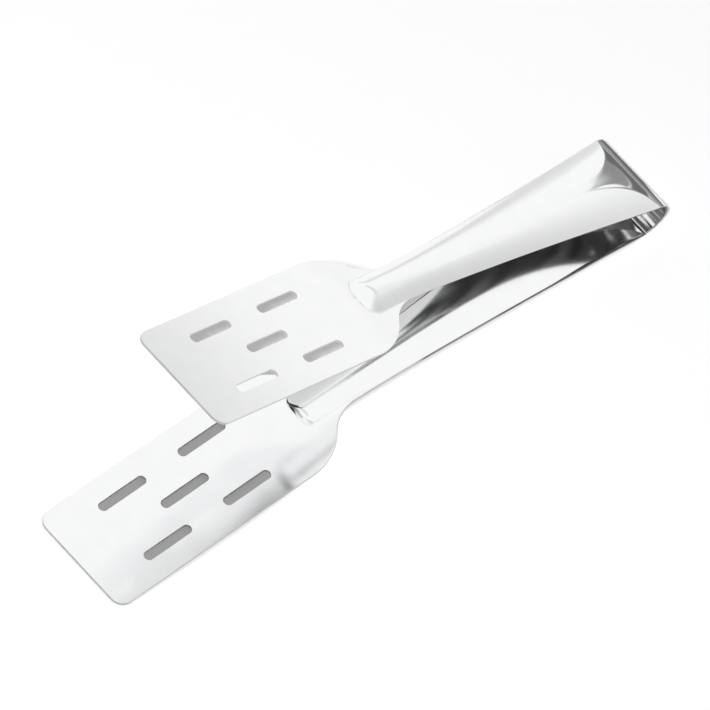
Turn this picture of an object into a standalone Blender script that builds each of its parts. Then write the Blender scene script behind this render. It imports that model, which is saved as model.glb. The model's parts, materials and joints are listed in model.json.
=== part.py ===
"""Spring tongs for pastry, pressed and bent from one strip of stainless sheet.

Two arms run from a bent bow. Each is a handle arched across its width, a
narrow neck and a flat blade with five slots. The arms mirror each other.

Metres, +Z up, tips towards +X. The tongs lie on their lower arm, and the
origin is at the bottom centre of the bounding box. An arm is drawn in its
own terms: a station is a distance from the bow's end along the arm, and a
height is measured from the outer plane of its rims, outwards.
"""
import math

import bmesh
import bpy
from mathutils import Vector

# Sheet and bow
sheet_thickness = 0.0008
bow_radius = 0.0069
bow_width = 0.0289
opening_angle = math.radians(18.7)
seam_gap = 0.0003

# Handles, each with an arch that stands out from its rims
handle_rise = 0.0025
rim_width = 0.0004
neck_station = 0.1151
neck_width = 0.0132
taper_power = 1.3

# Dart, where the arch is folded flat into the bow
dart_length = 0.0288
dart_pinch = 4.0
dart_dish_share = 0.5

# Nose, where the arch runs out on the blade's root
nose_reach = 0.0179
nose_length = 0.0060
nose_power = 3.0

# Blades
arm_length = 0.2192
blade_width = 0.0370
neck_fillet_radius = 0.0150
shoulder_radius = 0.0214
tip_corner_radius = 0.0040
blade_bend_length = 0.0080

# Slots, one in the middle of four
slot_length = 0.0182
slot_width = 0.0032
slot_row_pitch = 0.0317
slot_side_pitch = 0.0203
slot_centre_to_tip = 0.0420
slot_overrun = 0.0020

# How finely the sheet is divided
dart_rows = 10
dart_row_power = 1.5
handle_rows = 6
arc_rows = 5
arch_columns = 8
bow_rows = 24
slot_end_steps = 6
finest_row = 0.00005

# Steel's look
steel_colour = (0.78, 0.79, 0.80, 1.0)
steel_roughness = 0.12
smooth_below = math.radians(30.0)

# Places that follow from the sizes
bow_half = bow_width / 2
neck_half = neck_width / 2
blade_half = blade_width / 2
shoulder_turn = math.acos(1 - (blade_half - neck_half) / (neck_fillet_radius + shoulder_radius))
shoulder_middle = neck_station + neck_fillet_radius * math.sin(shoulder_turn)
shoulder_end = shoulder_middle + shoulder_radius * math.sin(shoulder_turn)
nose_end = neck_station + nose_reach
nose_start = nose_end - nose_length
bend_end = nose_end + blade_bend_length
tip_radius = min(tip_corner_radius, blade_half - neck_half)
tip_start = arm_length - tip_radius
# The blade turns out as far as brings its tip level with the handle's crown.
blade_turn = math.asin(handle_rise / (arm_length - nose_end - blade_bend_length / 2))


def half_width(station):
    """Half of the sheet's width at a station of the arm."""
    if station <= neck_station:
        left = 1 - station / neck_station
        return neck_half + (bow_half - neck_half) * left ** taper_power
    if station <= shoulder_middle:
        run = station - neck_station
        return neck_half + neck_fillet_radius - math.sqrt(neck_fillet_radius ** 2 - run ** 2)
    if station <= shoulder_end:
        run = shoulder_end - station
        return blade_half - shoulder_radius + math.sqrt(shoulder_radius ** 2 - run ** 2)
    if station <= tip_start:
        return blade_half
    run = min(station - tip_start, tip_radius)
    return blade_half - tip_radius + math.sqrt(tip_radius ** 2 - run ** 2)


def arch_half_width(station):
    """Half of the arch's width: the handle less its flat rims, and no more than the neck."""
    if station <= neck_station:
        return half_width(station) - rim_width
    return neck_half - rim_width


def dart_edge_share(share_along):
    """The dart's edge as a share of the arch's half width, from the bow to the dart's point."""
    return max(1 - share_along, 0) / (1 + dart_pinch * share_along)


def outer_height(station, across_share):
    """Height of the sheet's outer face, at a share of the arch's half width from its middle."""
    run_out = max(station - nose_start, 0) / nose_length
    from_crown = (across_share ** nose_power + run_out ** nose_power) ** (1 / nose_power)
    height_share = max(1 - from_crown ** 2, 0)
    along = station / dart_length
    edge = dart_edge_share(along)
    if across_share < edge:
        edge_height_share = 1 - edge ** 2
        middle_height_share = along * (2 - along)
        dished_share = middle_height_share + (edge_height_share - middle_height_share) * (across_share / edge) ** 2
        height_share = dart_dish_share * dished_share + (1 - dart_dish_share) * edge_height_share
    return handle_rise * height_share


def column_shares(station):
    """Shares of the arch's half width, from the middle out, with one column on the dart's edge."""
    along = station / dart_length
    even_knee = 1 / 2
    least_knee = 1 / 8
    knee = min(max(dart_edge_share(along), least_knee), 1 - least_knee)
    if along > 1:
        ease = min(along - 1, 1)
        knee = least_knee + (even_knee - least_knee) * ease * ease * (3 - 2 * ease)
    inner_count = arch_columns // 2
    outer_count = arch_columns - inner_count
    inner = [knee * i / inner_count for i in range(inner_count)]
    outer = [knee + (1 - knee) * i / outer_count for i in range(outer_count + 1)]
    return inner + outer


def arm_stations():
    """Stations of the arm's rows, closer together where the sheet curves."""
    rows = [dart_length * (i / dart_rows) ** dart_row_power for i in range(dart_rows)]
    rows += [dart_length + (neck_station - dart_length) * i / handle_rows for i in range(handle_rows)]
    for i in range(arc_rows):
        turn = shoulder_turn * i / arc_rows
        rows.append(neck_station + neck_fillet_radius * math.sin(turn))
        rows.append(shoulder_end - shoulder_radius * math.sin(turn))
        rows.append(nose_end - nose_length * (1 - math.sin(math.pi / 2 * i / arc_rows)))
        rows.append(nose_end + blade_bend_length * i / arc_rows)
        rows.append(tip_start + tip_radius * math.sin(math.pi / 2 * i / arc_rows))
    rows += [shoulder_middle, bend_end]
    kept = []
    for row in sorted(rows):
        if row < arm_length and (not kept or row - kept[-1] > finest_row):
            kept.append(row)
    return kept + [arm_length]


def turn_at(station):
    """How far the arm has turned out from the handle's direction at a station."""
    share = min(max((station - nose_end) / blade_bend_length, 0), 1)
    return blade_turn * share


def arm_place(station, across, height, direction, outward):
    """A point of an arm, measured from the bow's centre. Outward is 1 for the upper arm, -1 for the lower."""
    root_normal = Vector((-math.sin(direction), 0, math.cos(direction))) * outward
    straight = min(station, nose_end)
    place = root_normal * bow_radius + Vector((math.cos(direction), 0, math.sin(direction))) * straight
    bend = min(max(station - nose_end, 0), blade_bend_length)
    middle = direction + outward * turn_at(nose_end + bend) / 2
    place += Vector((math.cos(middle), 0, math.sin(middle))) * bend
    final = direction + outward * turn_at(station)
    beyond = max(station - bend_end, 0)
    place += Vector((math.cos(final), 0, math.sin(final))) * beyond
    normal = Vector((-math.sin(final), 0, math.cos(final))) * outward
    return place + normal * height + Vector((0, across, 0))


def arm_row(station, direction, outward):
    """The outer and inner points of one row across the arm."""
    arch = arch_half_width(station)
    shares = column_shares(station)
    places = [(-half_width(station), 1)]
    places += [(-arch * share, share) for share in reversed(shares)]
    places += [(arch * share, share) for share in shares[1:]]
    places.append((half_width(station), 1))
    outer = []
    inner = []
    for across, share in places:
        height = outer_height(station, share)
        outer.append(arm_place(station, across, height, direction, outward))
        inner.append(arm_place(station, across, height - sheet_thickness, direction, outward))
    return outer, inner


def bow_row(angle):
    """The outer and inner points of one row across the bow."""
    radial = Vector((math.cos(angle), 0, math.sin(angle)))
    sides = [Vector((0, across, 0)) for across in (-bow_half, 0, bow_half)]
    outer = [radial * bow_radius + side for side in sides]
    inner = [radial * (bow_radius - sheet_thickness) + side for side in sides]
    return outer, inner


def sheet_mesh(name, rows):
    """A closed strip of sheet through rows of outer and inner points."""
    shape = bmesh.new()
    grid = [([shape.verts.new(p) for p in outer], [shape.verts.new(p) for p in inner]) for outer, inner in rows]
    columns = len(grid[0][0])
    for (outer, inner), (next_outer, next_inner) in zip(grid, grid[1:]):
        for i in range(columns - 1):
            shape.faces.new((outer[i], outer[i + 1], next_outer[i + 1], next_outer[i]))
            shape.faces.new((inner[i], next_inner[i], next_inner[i + 1], inner[i + 1]))
        for i in (0, columns - 1):
            shape.faces.new((outer[i], next_outer[i], next_inner[i], inner[i]))
    for outer, inner in (grid[0], grid[-1]):
        for i in range(columns - 1):
            shape.faces.new((outer[i], inner[i], inner[i + 1], outer[i + 1]))
    bmesh.ops.recalc_face_normals(shape, faces=shape.faces)
    mesh = bpy.data.meshes.new(name)
    shape.to_mesh(mesh)
    shape.free()
    return mesh


def slot_outline(station, across):
    """The outline of one slot with round ends, as stations and distances across."""
    radius = slot_width / 2
    reach = slot_length / 2 - radius
    outline = []
    for end in (1, -1):
        for i in range(slot_end_steps + 1):
            angle = math.pi * (i / slot_end_steps - end / 2)
            outline.append((station + end * reach + radius * math.cos(angle), across + radius * math.sin(angle)))
    return outline


def slot_cutter_mesh(name, direction, outward):
    """Prisms through the blade, one for each slot."""
    shape = bmesh.new()
    centre = arm_length - slot_centre_to_tip
    places = [(centre, 0)]
    for along in (-1, 1):
        for side in (-1, 1):
            places.append((centre + along * slot_row_pitch / 2, side * slot_side_pitch / 2))
    for station, across in places:
        outline = slot_outline(station, across)
        heights = (slot_overrun, -sheet_thickness - slot_overrun)
        rings = [[shape.verts.new(arm_place(t, y, h, direction, outward)) for t, y in outline] for h in heights]
        shape.faces.new(rings[0])
        shape.faces.new(list(reversed(rings[1])))
        for i in range(len(outline)):
            j = (i + 1) % len(outline)
            shape.faces.new((rings[0][i], rings[1][i], rings[1][j], rings[0][j]))
    bmesh.ops.recalc_face_normals(shape, faces=shape.faces)
    mesh = bpy.data.meshes.new(name)
    shape.to_mesh(mesh)
    shape.free()
    return mesh


def steel(name):
    """Polished stainless steel."""
    material = bpy.data.materials.new(name)
    material.use_nodes = True
    shader = material.node_tree.nodes["Principled BSDF"]
    shader.inputs["Base Color"].default_value = steel_colour
    shader.inputs["Metallic"].default_value = 1.0
    shader.inputs["Roughness"].default_value = steel_roughness
    return material


def place_object(name, mesh, place):
    """An object that holds a mesh at a place."""
    thing = bpy.data.objects.new(name, mesh)
    thing.location = place
    bpy.context.scene.collection.objects.link(thing)
    return thing


def finish_piece(name, mesh, place):
    """One steel piece, shaded smooth over its curves."""
    mesh.materials.append(steel(name + "_steel"))
    mesh.shade_smooth()
    mesh.set_sharp_from_angle(angle=smooth_below)
    return place_object(name, mesh, place)


def cut_slots(arm, direction, outward, place):
    """Cuts the blade's slots with a hidden set of prisms."""
    cutter = place_object(arm.name + "_slots", slot_cutter_mesh(arm.name + "_slots", direction, outward), place)
    cutter.hide_render = True
    cutter.display_type = "WIRE"
    cut = arm.modifiers.new("slots", "BOOLEAN")
    cut.operation = "DIFFERENCE"
    cut.solver = "EXACT"
    cut.object = cutter


def build():
    """Builds the lower arm, the bow and the upper arm."""
    for thing in list(bpy.data.objects):
        bpy.data.objects.remove(thing, do_unlink=True)
    arms = {"lower_arm": (0, -1), "upper_arm": (opening_angle, 1)}
    meshes = {}
    for name, (direction, outward) in arms.items():
        rows = [arm_row(station, direction, outward) for station in arm_stations()]
        meshes[name] = sheet_mesh(name, rows)
    seam_angle = seam_gap / bow_radius
    first = math.pi / 2 + opening_angle + seam_angle
    last = 3 * math.pi / 2 - seam_angle
    angles = [first + (last - first) * i / bow_rows for i in range(bow_rows + 1)]
    meshes["spring_bow"] = sheet_mesh("spring_bow", [bow_row(angle) for angle in angles])
    points = [vertex.co for mesh in meshes.values() for vertex in mesh.vertices]
    middle_x = (min(p.x for p in points) + max(p.x for p in points)) / 2
    bow_centre = Vector((-middle_x, 0, -min(p.z for p in points)))
    for name, mesh in meshes.items():
        finish_piece(name, mesh, bow_centre)
    for name, (direction, outward) in arms.items():
        cut_slots(bpy.data.objects[name], direction, outward, bow_centre)


build()
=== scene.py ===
"""Looks of the pastry tongs: one strip of polished stainless sheet, pressed, pierced and bent.

The sheet is modelled flat with its crown up, stations along X from the bow's end,
then pressed, bent and set in place. Metres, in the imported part's own frame.
"""
import json
import math

import bmesh
import bpy
from mathutils import Matrix, Vector


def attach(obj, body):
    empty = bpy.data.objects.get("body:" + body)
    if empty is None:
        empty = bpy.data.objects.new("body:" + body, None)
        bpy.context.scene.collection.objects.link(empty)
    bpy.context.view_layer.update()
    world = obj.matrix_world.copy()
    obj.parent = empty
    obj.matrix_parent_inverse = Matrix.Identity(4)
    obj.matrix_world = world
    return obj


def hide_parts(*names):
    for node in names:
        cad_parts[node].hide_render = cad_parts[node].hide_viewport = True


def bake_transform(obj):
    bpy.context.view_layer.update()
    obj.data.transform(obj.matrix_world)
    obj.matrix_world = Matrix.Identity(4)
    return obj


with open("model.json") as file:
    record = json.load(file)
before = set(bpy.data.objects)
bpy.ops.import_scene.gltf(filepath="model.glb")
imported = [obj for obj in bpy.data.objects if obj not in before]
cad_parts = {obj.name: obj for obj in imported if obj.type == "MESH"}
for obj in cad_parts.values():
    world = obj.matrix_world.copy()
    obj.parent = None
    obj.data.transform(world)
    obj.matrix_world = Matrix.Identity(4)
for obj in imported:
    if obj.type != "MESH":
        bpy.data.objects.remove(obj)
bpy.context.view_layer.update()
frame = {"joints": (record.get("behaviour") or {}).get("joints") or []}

# Sheet
sheet_thickness = 0.0008
edge_round = 0.00022
edge_round_steps = 3
edge_profile = 0.5
opening_angle = math.radians(18.7)
bow_width = 0.0289

# Handle, an arch between two narrow rims
handle_rise = 0.0025
rim_width = 0.0001
neck_station = 0.1151
neck_width = 0.0132
taper_power = 1.3

# Dart, the arch folded flat into the bow
dart_length = 0.0288
dart_pinch = 3.2
dart_dish_share = 0.5
dart_crease_run = 0.25

# Nose, the arch's end on the blade's root
nose_reach = 0.0179
nose_length = 0.0060
nose_power = 3.0

# Blade
arm_length = 0.2192
blade_width = 0.0370
neck_fillet_radius = 0.0150
shoulder_radius = 0.0214
tip_corner_radius = 0.0040
blade_bend_length = 0.0080

# Slots
slot_length = 0.0182
slot_width = 0.0032
slot_row_pitch = 0.0317
slot_side_pitch = 0.0203
slot_centre_to_tip = 0.0420

# How soft the pressed creases are, as shares of the rise
dart_crease_share = 0.06
foot_crease_share = 0.02

# How finely the sheet is divided
columns = 72
dart_rows = 60
dart_row_power = 1.4
handle_rows = 44
shoulder_rows = 30
nose_rows = 26
bow_steps = 72
corner_steps = 8
bend_steps = 8
finest_row = 0.0001
sharp_edge = math.radians(50.0)
smooth_below = math.radians(30.0)

# Places closer together than this are taken as one
near = 1e-6

# Finishes. The faces are polished, and the cut edges and slot walls are left duller by the press.
# The lines are how strongly each finish shows the fine lines of its bump
face_tints = (0.925, 0.930, 0.935), (0.945, 0.948, 0.951)
face_roughness = (0.09, 0.13)
face_lines = 0.02
edge_tints = (0.53, 0.535, 0.54), (0.61, 0.615, 0.62)
edge_roughness = (0.26, 0.38)
edge_lines = 0.10
line_stretch = (1.2, 60.0, 1.0)
line_scale = 6.0
line_detail = 6.0
line_roughness = 0.6
line_range = (0.3, 0.7)
line_depth = 0.0001
cloud_scale = 5.0
cloud_detail = 3.0
tint_stops = (0.35, 0.65)
cut_face = 1

# Places that follow
bow_centre = Vector(frame["joints"][0]["pos_m"])
bow_radius = bow_centre.z - handle_rise
bow_half = bow_width / 2
neck_half = neck_width / 2
blade_half = blade_width / 2
shoulder_turn = math.acos(1 - (blade_half - neck_half) / (neck_fillet_radius + shoulder_radius))
shoulder_middle = neck_station + neck_fillet_radius * math.sin(shoulder_turn)
shoulder_end = shoulder_middle + shoulder_radius * math.sin(shoulder_turn)
nose_end = neck_station + nose_reach
nose_start = nose_end - nose_length
blade_turn = math.asin(handle_rise / (arm_length - nose_end - blade_bend_length / 2))


def half_width(station):
    """Half of the sheet's width at a station."""
    if station <= neck_station:
        left = 1 - station / neck_station
        return neck_half + (bow_half - neck_half) * left ** taper_power
    if station <= shoulder_middle:
        run = station - neck_station
        return neck_half + neck_fillet_radius - math.sqrt(neck_fillet_radius ** 2 - run ** 2)
    run = max(shoulder_end - station, 0)
    return blade_half - shoulder_radius + math.sqrt(shoulder_radius ** 2 - run ** 2)


def soft_least(a, b, softness):
    """The lesser of two values, rounded where they meet."""
    blend = max(softness - abs(a - b), 0) / softness
    return min(a, b) - blend * blend * softness / 4


def pressed_height(station, across):
    """Height of the pressed sheet's outer face over its rims."""
    widest = neck_half if station > neck_station else bow_half
    arch_half = min(half_width(station), widest) - rim_width
    share = abs(across) / arch_half
    run_out = max(station - nose_start, 0) / nose_length
    from_crown = (share ** nose_power + run_out ** nose_power) ** (1 / nose_power)
    arch = -soft_least(-(1 - from_crown ** 2), 0, foot_crease_share)
    along = station / dart_length
    if along < 1:
        edge = max((1 - along) / (1 + dart_pinch * along), near)
        edge_height = 1 - edge ** 2
        middle = along * (2 - along)
        rise_out = min((share / edge) ** 2, 1 / edge)
        dished = middle + (edge_height - middle) * rise_out
        dart = dart_dish_share * dished + (1 - dart_dish_share) * edge_height
        arch = soft_least(arch, dart, dart_crease_share * min(along / dart_crease_run, 1) + near)
    return handle_rise * max(arch, 0)


def row_stations():
    """Stations of the handle's rows, closer together where the sheet curves."""
    handle_length = nose_start - dart_length
    shoulder_length = shoulder_end - neck_station
    nose_run = nose_length + finest_row
    rows = [dart_length * (i / dart_rows) ** dart_row_power for i in range(dart_rows)]
    rows += [dart_length + handle_length * i / handle_rows for i in range(handle_rows)]
    rows += [neck_station + shoulder_length * i / shoulder_rows for i in range(shoulder_rows)]
    rows += [nose_start + nose_run * i / nose_rows for i in range(nose_rows + 1)]
    kept = [0.0]
    for row in sorted(rows):
        if row - kept[-1] > finest_row:
            kept.append(row)
    if shoulder_end - kept[-1] < finest_row:
        kept.pop()
    return kept + [shoulder_end]


def pick(obj, wanted, mode="VERT"):
    """Selects the vertices or edges for which a test holds, and nothing else."""
    bpy.ops.mesh.select_mode(type=mode)
    bpy.ops.mesh.select_all(action="DESELECT")
    shape = bmesh.from_edit_mesh(obj.data)
    for part in {"VERT": shape.verts, "EDGE": shape.edges}[mode]:
        if wanted(part):
            part.select_set(True)
    shape.select_flush_mode()
    bmesh.update_edit_mesh(obj.data)


def middle_of(edge):
    """The middle of an edge."""
    return (edge.verts[0].co + edge.verts[1].co) / 2


def new_piece(name, add, **settings):
    """A primitive under its own name, ready in edit mode."""
    bpy.ops.object.select_all(action="DESELECT")
    add(**settings)
    piece = bpy.context.object
    piece.name = name
    piece.data.name = name
    bpy.ops.object.transform_apply(location=True, rotation=True, scale=True)
    bpy.ops.object.mode_set(mode="EDIT")
    return piece


def start_row(name, width):
    """A row of edges across the sheet at X = 0, in edit mode with the row selected."""
    piece = new_piece(
        name, bpy.ops.mesh.primitive_grid_add, x_subdivisions=1, y_subdivisions=columns, size=1)
    pick(piece, lambda v: v.co.x > 0)
    bpy.ops.mesh.delete(type="VERT")
    pick(piece, lambda v: True)
    bpy.ops.transform.translate(value=(1 / 2, 0, 0))
    bpy.ops.transform.resize(value=(1, width, 1), center_override=(0, 0, 0))
    return piece


def add_slot(piece, station, across):
    """The outline of one slot, in the plan of the blade."""
    bpy.ops.mesh.select_all(action="DESELECT")
    bpy.ops.mesh.primitive_circle_add(
        vertices=4 * corner_steps, radius=slot_width / 2, location=(station, across, 0))
    reach = (slot_length - slot_width) / 2
    shape = bmesh.from_edit_mesh(piece.data)
    ring = [v for v in shape.verts if v.select]
    for side in (1, -1):
        for v in ring:
            v.select_set((v.co.x - station) * side > near)
        shape.select_flush_mode()
        bpy.ops.transform.translate(value=(side * reach, 0, 0))


def add_blade(piece):
    """The flat blade beyond the shoulder: outline, slots and face."""
    tip_start = arm_length - tip_corner_radius
    inner = blade_half - tip_corner_radius
    for side in (-1, 1):
        pick(piece, lambda v: v.co.x > shoulder_end - near and v.co.y * side > blade_half - near)
        steps = [(tip_start - shoulder_end, 0)]
        for i in range(corner_steps):
            turn = [math.pi / 2 * k / corner_steps for k in (i, i + 1)]
            step_x = tip_corner_radius * (math.sin(turn[1]) - math.sin(turn[0]))
            step_y = tip_corner_radius * (math.cos(turn[1]) - math.cos(turn[0]))
            steps.append((step_x, side * step_y))
        for step in steps:
            bpy.ops.mesh.extrude_vertices_move(TRANSFORM_OT_translate={"value": (*step, 0)})
    pick(piece, lambda v: v.co.x > arm_length - near and abs(abs(v.co.y) - inner) < near)
    bpy.ops.mesh.edge_face_add()
    centre = arm_length - slot_centre_to_tip
    add_slot(piece, centre, 0)
    for along in (-1, 1):
        for side in (-1, 1):
            add_slot(piece, centre + along * slot_row_pitch / 2, side * slot_side_pitch / 2)
    pick(piece, lambda e: middle_of(e).x > shoulder_end - near and len(e.link_faces) < 2, "EDGE")
    bpy.ops.mesh.fill(use_beauty=True)


def give_plan(piece):
    """Stores the flat plan as a map, so that the finish follows the sheet round its bends."""
    layer = piece.data.uv_layers.new(name="plan")
    for loop in piece.data.loops:
        place = piece.data.vertices[loop.vertex_index].co
        layer.data[loop.index].uv = (place.x / blade_width, place.y / blade_width)


def bend_blade(piece):
    """Turns the blade a little out of the handle's line, row by row."""
    turn = blade_turn / bend_steps
    for i in range(bend_steps):
        row = nose_end + blade_bend_length * (i + 1 / 2) / bend_steps
        pick(piece, lambda v: v.co.x > row)
        bpy.ops.transform.rotate(value=turn, orient_axis="Y", center_override=(row, 0, 0))


def thicken(piece):
    """Gives the sheet its wall, inwards from the outer face, and its two finishes."""
    bpy.ops.object.mode_set(mode="OBJECT")
    for finish in (polished_face, cut_edge):
        piece.data.materials.append(finish)
    wall = piece.modifiers.new("wall", "SOLIDIFY")
    wall.thickness = sheet_thickness
    wall.offset = -1
    wall.use_even_offset = True
    wall.material_offset_rim = cut_face
    bpy.ops.object.modifier_apply(modifier=wall.name)


def round_edges(piece, at_seam):
    """Rounds the sheet's cut edges, but not the ends where the pieces join."""
    bpy.ops.object.mode_set(mode="EDIT")
    bpy.ops.mesh.select_mode(type="EDGE")
    bpy.ops.mesh.select_all(action="DESELECT")
    bpy.ops.mesh.edges_select_sharp(sharpness=sharp_edge)
    shape = bmesh.from_edit_mesh(piece.data)
    for edge in shape.edges:
        if edge.select and (at_seam(middle_of(edge)) or not edge.is_manifold):
            edge.select_set(False)
    bmesh.update_edit_mesh(piece.data)
    bpy.ops.mesh.bevel(
        offset=edge_round, segments=edge_round_steps, profile=edge_profile,
        clamp_overlap=True, material=cut_face)
    bpy.ops.mesh.select_all(action="SELECT")
    bpy.ops.mesh.normals_make_consistent(inside=False)
    bpy.ops.object.mode_set(mode="OBJECT")


def shade(piece):
    """Smooth shading in which the large flat faces stay flat up to their rounded edges."""
    bpy.ops.object.select_all(action="DESELECT")
    piece.select_set(True)
    bpy.context.view_layer.objects.active = piece
    bpy.ops.object.shade_smooth_by_angle(angle=smooth_below)
    level = piece.modifiers.new("level_faces", "WEIGHTED_NORMAL")
    level.keep_sharp = True
    bpy.ops.object.modifier_apply(modifier=level.name)


def make_arm():
    """One arm, flat side down at the origin, crown up."""
    rows = row_stations()
    arm = start_row("upper_arm_sheet", bow_width)
    for here, there in zip(rows, rows[1:]):
        bpy.ops.mesh.extrude_region_move(TRANSFORM_OT_translate={"value": (there - here, 0, 0)})
        spread = half_width(there) / half_width(here)
        bpy.ops.transform.resize(value=(1, spread, 1), center_override=(there, 0, 0))
    add_blade(arm)
    bpy.ops.object.mode_set(mode="OBJECT")
    give_plan(arm)
    for vertex in arm.data.vertices:
        if vertex.co.x < nose_end:
            vertex.co.z = pressed_height(vertex.co.x, vertex.co.y)
    bpy.ops.object.mode_set(mode="EDIT")
    bend_blade(arm)
    bpy.ops.mesh.select_all(action="SELECT")
    bpy.ops.mesh.normals_make_consistent(inside=False)
    bpy.ops.object.mode_set(mode="OBJECT")
    if sum(face.normal.z for face in arm.data.polygons) < 0:
        bpy.ops.object.mode_set(mode="EDIT")
        bpy.ops.mesh.flip_normals()
    thicken(arm)
    round_edges(arm, lambda place: place.x < near)
    return arm


def place_mesh(piece, matrix):
    """Moves a piece's mesh and leaves its object at the origin."""
    piece.data.transform(matrix)
    if matrix.determinant() < 0:
        piece.data.flip_normals()
    piece.data.update()


def make_bow():
    """The bent bow between the arms."""
    bow = start_row("bow_sheet", bow_width)
    bpy.ops.transform.translate(value=(bow_centre.x, 0, bow_centre.z - bow_radius))
    sweep = math.pi - opening_angle
    bpy.ops.mesh.spin(steps=bow_steps, angle=-sweep, center=bow_centre, axis=(0, 1, 0))
    bpy.ops.object.mode_set(mode="OBJECT")
    layer = bow.data.uv_layers.new(name="plan")
    for loop in bow.data.loops:
        arm = bow.data.vertices[loop.vertex_index].co - bow_centre
        run = math.atan2(arm.z, -arm.x) * bow_radius
        layer.data[loop.index].uv = (run / blade_width, arm.y / blade_width)
    bpy.ops.object.mode_set(mode="EDIT")
    bpy.ops.mesh.select_all(action="SELECT")
    bpy.ops.mesh.normals_make_consistent(inside=False)
    bpy.ops.object.mode_set(mode="OBJECT")
    if sum(face.normal.x * face.area for face in bow.data.polygons) > 0:
        bow.data.flip_normals()
    thicken(bow)
    upper_end = Vector((math.cos(opening_angle), 0, math.sin(opening_angle)))

    def at_seam(place):
        arm = place - bow_centre
        return arm.x > -near or arm.dot(upper_end) > -near

    round_edges(bow, at_seam)
    return bow


def steel_finish(name, low_tint, high_tint, roughness, line_strength):
    """Stainless with fine lines along the sheet and a slightly uneven tone."""
    material = bpy.data.materials.new(name)
    material.use_nodes = True
    nodes = material.node_tree.nodes
    links = material.node_tree.links
    shader = nodes["Principled BSDF"]
    shader.inputs["Metallic"].default_value = 1.0
    plan = nodes.new("ShaderNodeUVMap")
    plan.uv_map = "plan"
    stretch = nodes.new("ShaderNodeMapping")
    stretch.inputs["Scale"].default_value = line_stretch
    links.new(plan.outputs["UV"], stretch.inputs["Vector"])
    lines = nodes.new("ShaderNodeTexNoise")
    lines.inputs["Scale"].default_value = line_scale
    lines.inputs["Detail"].default_value = line_detail
    lines.inputs["Roughness"].default_value = line_roughness
    links.new(stretch.outputs["Vector"], lines.inputs["Vector"])
    clouds = nodes.new("ShaderNodeTexNoise")
    clouds.inputs["Scale"].default_value = cloud_scale
    clouds.inputs["Detail"].default_value = cloud_detail
    links.new(plan.outputs["UV"], clouds.inputs["Vector"])
    tint = nodes.new("ShaderNodeValToRGB")
    for stop, position, colour in zip(tint.color_ramp.elements, tint_stops, (low_tint, high_tint)):
        stop.position = position
        stop.color = (*colour, 1)
    links.new(clouds.outputs["Fac"], tint.inputs["Fac"])
    links.new(tint.outputs["Color"], shader.inputs["Base Color"])
    blur = nodes.new("ShaderNodeMapRange")
    blur.inputs["From Min"].default_value = line_range[0]
    blur.inputs["From Max"].default_value = line_range[1]
    blur.inputs["To Min"].default_value = roughness[0]
    blur.inputs["To Max"].default_value = roughness[1]
    links.new(lines.outputs["Fac"], blur.inputs["Value"])
    links.new(blur.outputs["Result"], shader.inputs["Roughness"])
    bump = nodes.new("ShaderNodeBump")
    bump.inputs["Strength"].default_value = line_strength
    bump.inputs["Distance"].default_value = line_depth
    links.new(lines.outputs["Fac"], bump.inputs["Height"])
    links.new(bump.outputs["Normal"], shader.inputs["Normal"])
    return material


# The camera, at the photograph's place. Lens and sensor are in millimetres
camera_place = Vector((1.64235, 0.88130, 2.68696))
camera_right = Vector((-0.71726, 0.66069, 0.22143))
camera_up = Vector((-0.48220, -0.70003, 0.52673))
camera_lens = 560.7
camera_sensor = 36.0
camera_sees_from = 0.1
camera_sees_to = 20.0

# Studio. Matt surfaces get an even soft light, and the polished sheet mirrors a white tent
soft_light = 0.25
white = 1.0

# Walls of the tent: azimuth, elevation, inner radius, outer radius in degrees, and level.
# Each one is laid over those before it
walls = {
    "right": (130, 25, 5, 60, 0.68),
    "dark front": (0, 22, 50, 54, 0.16),
}

# Real steel keeps back part of the light at each mirroring, and the studio stands in for that:
# nothing is lost up to the first count, and only the last share is left from the second
lossless_mirrorings = 2
lost_mirrorings = 4
light_left = 0.15

# Floor, and the painted contact shade that darkens it where the sheet lies close over it
floor_size = 8.0
floor_tone = 0.88
floor_lift = 0.18
matt_roughness = 0.9
contact_reach = 0.003
contact_closed = 0.5
contact_open = 0.9
contact_shade_tone = 0.68

# Lamp, in degrees, metres and watts
lamp_azimuth = 22.9
lamp_elevation = 55.1
lamp_distance = 3.2
lamp_radius = 0.1
lamp_power = 345.0

# Cards that only the polished sheet sees: centre, size, turn about Z in degrees, level at the foot,
# level at the top, and the shares of the height at which the one starts and the other is reached. The
# upright ones are walls and flags of the studio. The flat shadow cards on the floor are painted shadows
# beside the arms, and the flat dark card at the rear darkens the floor behind the bow
cards = {
    "grey_card": ((-0.45, -0.18, 0.345), (0.0, 0.36, 0.26), 0, 1.0, 0.77, 0.06, 0.24),
    "flag_left": ((-0.45, -0.37, 0.0675), (0.0, 0.26, 0.085), 0, 0.74, 1.0, 0.3, 1.0),
    "flag_rear": ((-0.35, -0.035, 0.0515), (0.0, 0.13, 0.103), 0, 0.28, 0.62, 0.6, 1.0),
    # Painted faint shadow on the floor beside the lower blade's far edge
    "faint_shadow_card": ((0.085, -0.0255, 0.0002), (0.050, 0.017, 0.0), 0, 0.88, 0.88, 0, 1),
    # Darker floor behind the bow, seen only in the sheet's reflections
    "dark_card_rear": ((-0.240, -0.0290, 0.0004), (0.220, 0.058, 0.0), 0, 0.15, 0.15, 0, 1),
    # Painted shadows on the floor beside the bow and the handles
    "shadow_card_left": ((-0.0875, -0.0275, 0.0004), (0.085, 0.055, 0.0), 0, 0.03, 0.03, 0, 1),
    "shadow_card_right": ((-0.0900, 0.03043, 0.0004), (0.080, 0.0305, 0.0), -3.9, 0.06, 0.06, 0, 1),
    "grey_shadow_card_right": ((-0.0350, 0.02668, 0.0004), (0.030, 0.0305, 0.0), -3.9, 0.30, 0.30, 0, 1),
}
card_thickness = 0.0001

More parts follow.
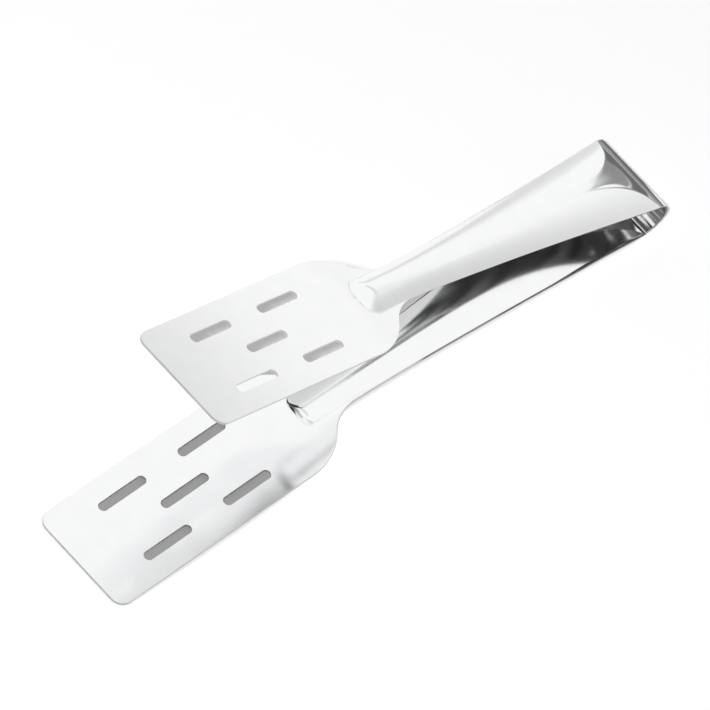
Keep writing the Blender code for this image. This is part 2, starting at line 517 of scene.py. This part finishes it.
# Painted shade under the lower blade: a grey patch of floor, seen through its slots
under_blade_shade_centre = (0.0713, 0, 0)
under_blade_shade_size = (0.0545, 0.033)
under_blade_shade_tone = 0.34


def make_camera():
    """A long lens from beyond the tips, to one side and high above."""
    data = bpy.data.cameras.new("camera")
    data.sensor_width = camera_sensor
    data.lens = camera_lens
    data.clip_start = camera_sees_from
    data.clip_end = camera_sees_to
    camera = bpy.data.objects.new("camera", data)
    back = camera_right.cross(camera_up)
    turn = Matrix((camera_right, camera_up, back)).transposed()
    camera.matrix_world = Matrix.Translation(camera_place) @ turn.to_4x4()
    bpy.context.scene.collection.objects.link(camera)
    bpy.context.scene.camera = camera


def matt_grey(name, tone):
    """A plain matt surface for the floor and the painted shade patch under the lower blade."""
    material = bpy.data.materials.new(name)
    material.use_nodes = True
    shader = material.node_tree.nodes["Principled BSDF"]
    shader.inputs["Base Color"].default_value = (tone, tone, tone, 1)
    shader.inputs["Roughness"].default_value = matt_roughness
    shader.inputs["Specular IOR Level"].default_value = 0.0
    return material


def node_step(tree, source, low, high, start, end):
    """A soft step of one value between two levels."""
    step = tree.nodes.new("ShaderNodeMapRange")
    step.interpolation_type = "SMOOTHSTEP"
    step.inputs["From Min"].default_value = low
    step.inputs["From Max"].default_value = high
    step.inputs["To Min"].default_value = start
    step.inputs["To Max"].default_value = end
    tree.links.new(source, step.inputs["Value"])
    return step.outputs["Result"]


def node_side(tree, source, side):
    """How far a direction points to one side."""
    dot = tree.nodes.new("ShaderNodeVectorMath")
    dot.operation = "DOT_PRODUCT"
    dot.inputs[1].default_value = side
    tree.links.new(source, dot.inputs[0])
    return dot.outputs["Value"]


def node_math(tree, operation, first, second):
    """One step of reckoning with two values, each a number or another node's output."""
    node = tree.nodes.new("ShaderNodeMath")
    node.operation = operation
    for socket, value in zip(node.inputs, (first, second)):
        if isinstance(value, (int, float)):
            socket.default_value = value
        else:
            tree.links.new(value, socket)
    return node.outputs["Value"]


def pointing(azimuth, elevation):
    """The direction at an azimuth from +X and an elevation, in degrees."""
    turn = math.radians(azimuth)
    rise = math.radians(elevation)
    return (math.cos(turn) * math.cos(rise), math.sin(turn) * math.cos(rise), math.sin(rise))


def ray_kind(tree, kind):
    """1 for one kind of ray, 0 for the others."""
    return tree.nodes.new("ShaderNodeLightPath").outputs[kind]


def node_mix(tree, share, first, second):
    """A value between two others. The node's second input is for colours and isn't used."""
    mix = tree.nodes.new("ShaderNodeMix")
    share_socket, _, first_socket, second_socket = mix.inputs[:4]
    for socket, value in ((share_socket, share), (first_socket, first), (second_socket, second)):
        if isinstance(value, (int, float)):
            socket.default_value = value
        else:
            tree.links.new(value, socket)
    return mix.outputs[0]


def mirror_loss(tree):
    """What is left of the light after several mirrorings."""
    mirrorings = tree.nodes.new("ShaderNodeLightPath").outputs["Glossy Depth"]
    return node_step(tree, mirrorings, lossless_mirrorings, lost_mirrorings, 1, light_left)


def make_world():
    """A white tent, greyer at the right and dark at the front, as the polished sheet mirrors it."""
    world = bpy.data.worlds.new("studio")
    world.use_nodes = True
    bpy.context.scene.world = world
    tree = world.node_tree
    background = tree.nodes["Background"]
    background.inputs["Color"].default_value = (1, 1, 1, 1)
    place = tree.nodes.new("ShaderNodeTexCoord").outputs["Generated"]
    level = white
    for azimuth, elevation, inner, outer, wall_level in walls.values():
        side = node_side(tree, place, pointing(azimuth, elevation))
        rim, core = (math.cos(math.radians(radius)) for radius in (outer, inner))
        inside = node_step(tree, side, rim, core, 0, 1)
        level = node_mix(tree, inside, level, wall_level)
    level = node_math(tree, "MULTIPLY", level, mirror_loss(tree))
    seen = node_mix(tree, ray_kind(tree, "Is Glossy Ray"), soft_light, level)
    seen = node_mix(tree, ray_kind(tree, "Is Camera Ray"), seen, white)
    tree.links.new(seen, background.inputs["Strength"])


def add_card(name, centre, size, turn=0):
    """A thin card, flat on the floor or upright."""
    bpy.ops.object.select_all(action="DESELECT")
    sides = [max(side, card_thickness) for side in size]
    turned = (0, 0, math.radians(turn))
    bpy.ops.mesh.primitive_cube_add(size=1, location=centre, rotation=turned, scale=sides)
    card = bpy.context.object
    card.name = name
    return card


def make_mirrored_card(name, centre, size, turn, foot_level, top_level, foot_share, top_share):
    """A card that only the polished sheet sees, in what it mirrors."""
    card = add_card(name, centre, size, turn)
    material = bpy.data.materials.new(name)
    material.use_nodes = True
    tree = material.node_tree
    place = tree.nodes.new("ShaderNodeTexCoord").outputs["Generated"]
    height = tree.nodes.new("ShaderNodeSeparateXYZ")
    tree.links.new(place, height.inputs["Vector"])
    glow = tree.nodes.new("ShaderNodeEmission")
    level = node_step(tree, height.outputs["Z"], foot_share, top_share, foot_level, top_level)
    tree.links.new(level, glow.inputs["Strength"])
    tree.links.new(glow.outputs["Emission"], tree.nodes["Material Output"].inputs["Surface"])
    card.data.materials.append(material)
    card.visible_camera = False
    card.visible_diffuse = False
    card.visible_shadow = False


def floor_material():
    """Matt white, with painted contact shade where something lies close over it."""
    material = matt_grey("floor_white", floor_tone)
    tree = material.node_tree
    shader = tree.nodes["Principled BSDF"]
    # Painted contact shade: ambient occlusion darkens the floor's colour, its glow and what the sheet
    # mirrors of it
    contact = tree.nodes.new("ShaderNodeAmbientOcclusion")
    contact.inputs["Distance"].default_value = contact_reach
    openness = contact.outputs["AO"]
    open_share = node_step(tree, openness, contact_closed, contact_open, contact_shade_tone, 1)
    tone = node_math(tree, "MULTIPLY", open_share, floor_tone)
    tree.links.new(tone, shader.inputs["Base Color"])
    lift = node_math(tree, "MULTIPLY", open_share, floor_lift)
    seen = node_math(tree, "MULTIPLY", lift, ray_kind(tree, "Is Camera Ray"))
    shader.inputs["Emission Color"].default_value = (1, 1, 1, 1)
    tree.links.new(seen, shader.inputs["Emission Strength"])
    mirrored = tree.nodes.new("ShaderNodeEmission")
    level = node_math(tree, "MULTIPLY", open_share, mirror_loss(tree))
    tree.links.new(level, mirrored.inputs["Strength"])
    either = tree.nodes.new("ShaderNodeMixShader")
    tree.links.new(ray_kind(tree, "Is Glossy Ray"), either.inputs["Fac"])
    tree.links.new(shader.outputs["BSDF"], either.inputs[1])
    tree.links.new(mirrored.outputs["Emission"], either.inputs[2])
    tree.links.new(either.outputs["Shader"], tree.nodes["Material Output"].inputs["Surface"])
    return material


def make_studio():
    """White floor, white tent, mirrored cards among which lie painted shadows, a grey patch of painted
    shade under the lower blade, and a lamp close to the camera's direction.
    """
    bpy.ops.object.select_all(action="DESELECT")
    bpy.ops.mesh.primitive_plane_add(size=floor_size, location=(0, 0, 0))
    floor = bpy.context.object
    floor.name = "floor"
    floor.data.materials.append(floor_material())
    make_world()
    for name, card in cards.items():
        make_mirrored_card(name, *card)
    # Painted shade: a grey patch of floor under the lower blade
    mat = add_card("under_blade_shade", under_blade_shade_centre, (*under_blade_shade_size, 0))
    mat.data.materials.append(matt_grey("under_blade_shade_grey", under_blade_shade_tone))
    lamp = bpy.data.lights.new("key_light", "POINT")
    lamp.shadow_soft_size = lamp_radius
    lamp.energy = lamp_power
    light = bpy.data.objects.new("key_light", lamp)
    light.visible_glossy = False
    light.location = Vector(pointing(lamp_azimuth, lamp_elevation)) * lamp_distance
    bpy.context.scene.collection.objects.link(light)


make_camera()
polished_face = steel_finish("polished_stainless", *face_tints, face_roughness, face_lines)
cut_edge = steel_finish("cut_stainless", *edge_tints, edge_roughness, edge_lines)
upper = make_arm()
lower = upper.copy()
lower.data = upper.data.copy()
lower.name = "lower_arm_sheet"
lower.data.name = "lower_arm_sheet"
bpy.context.scene.collection.objects.link(lower)
to_upper = Matrix.Translation(bow_centre) @ Matrix.Rotation(-opening_angle, 4, "Y")
place_mesh(upper, to_upper @ Matrix.Translation((0, 0, bow_radius)))
mirror = Matrix.Diagonal((1, 1, -1, 1))
place_mesh(lower, Matrix.Translation(bow_centre) @ mirror @ Matrix.Translation((0, 0, bow_radius)))
bow = make_bow()
for piece in (upper, lower, bow):
    shade(piece)
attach(upper, "upper_arm")
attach(lower, "lower_arm")
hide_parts("upper_arm")
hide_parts("lower_arm")
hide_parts("spring_bow")
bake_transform(bow)
make_studio()
scene = bpy.context.scene
scene.view_settings.view_transform = "Standard"

bpy.context.view_layer.update()
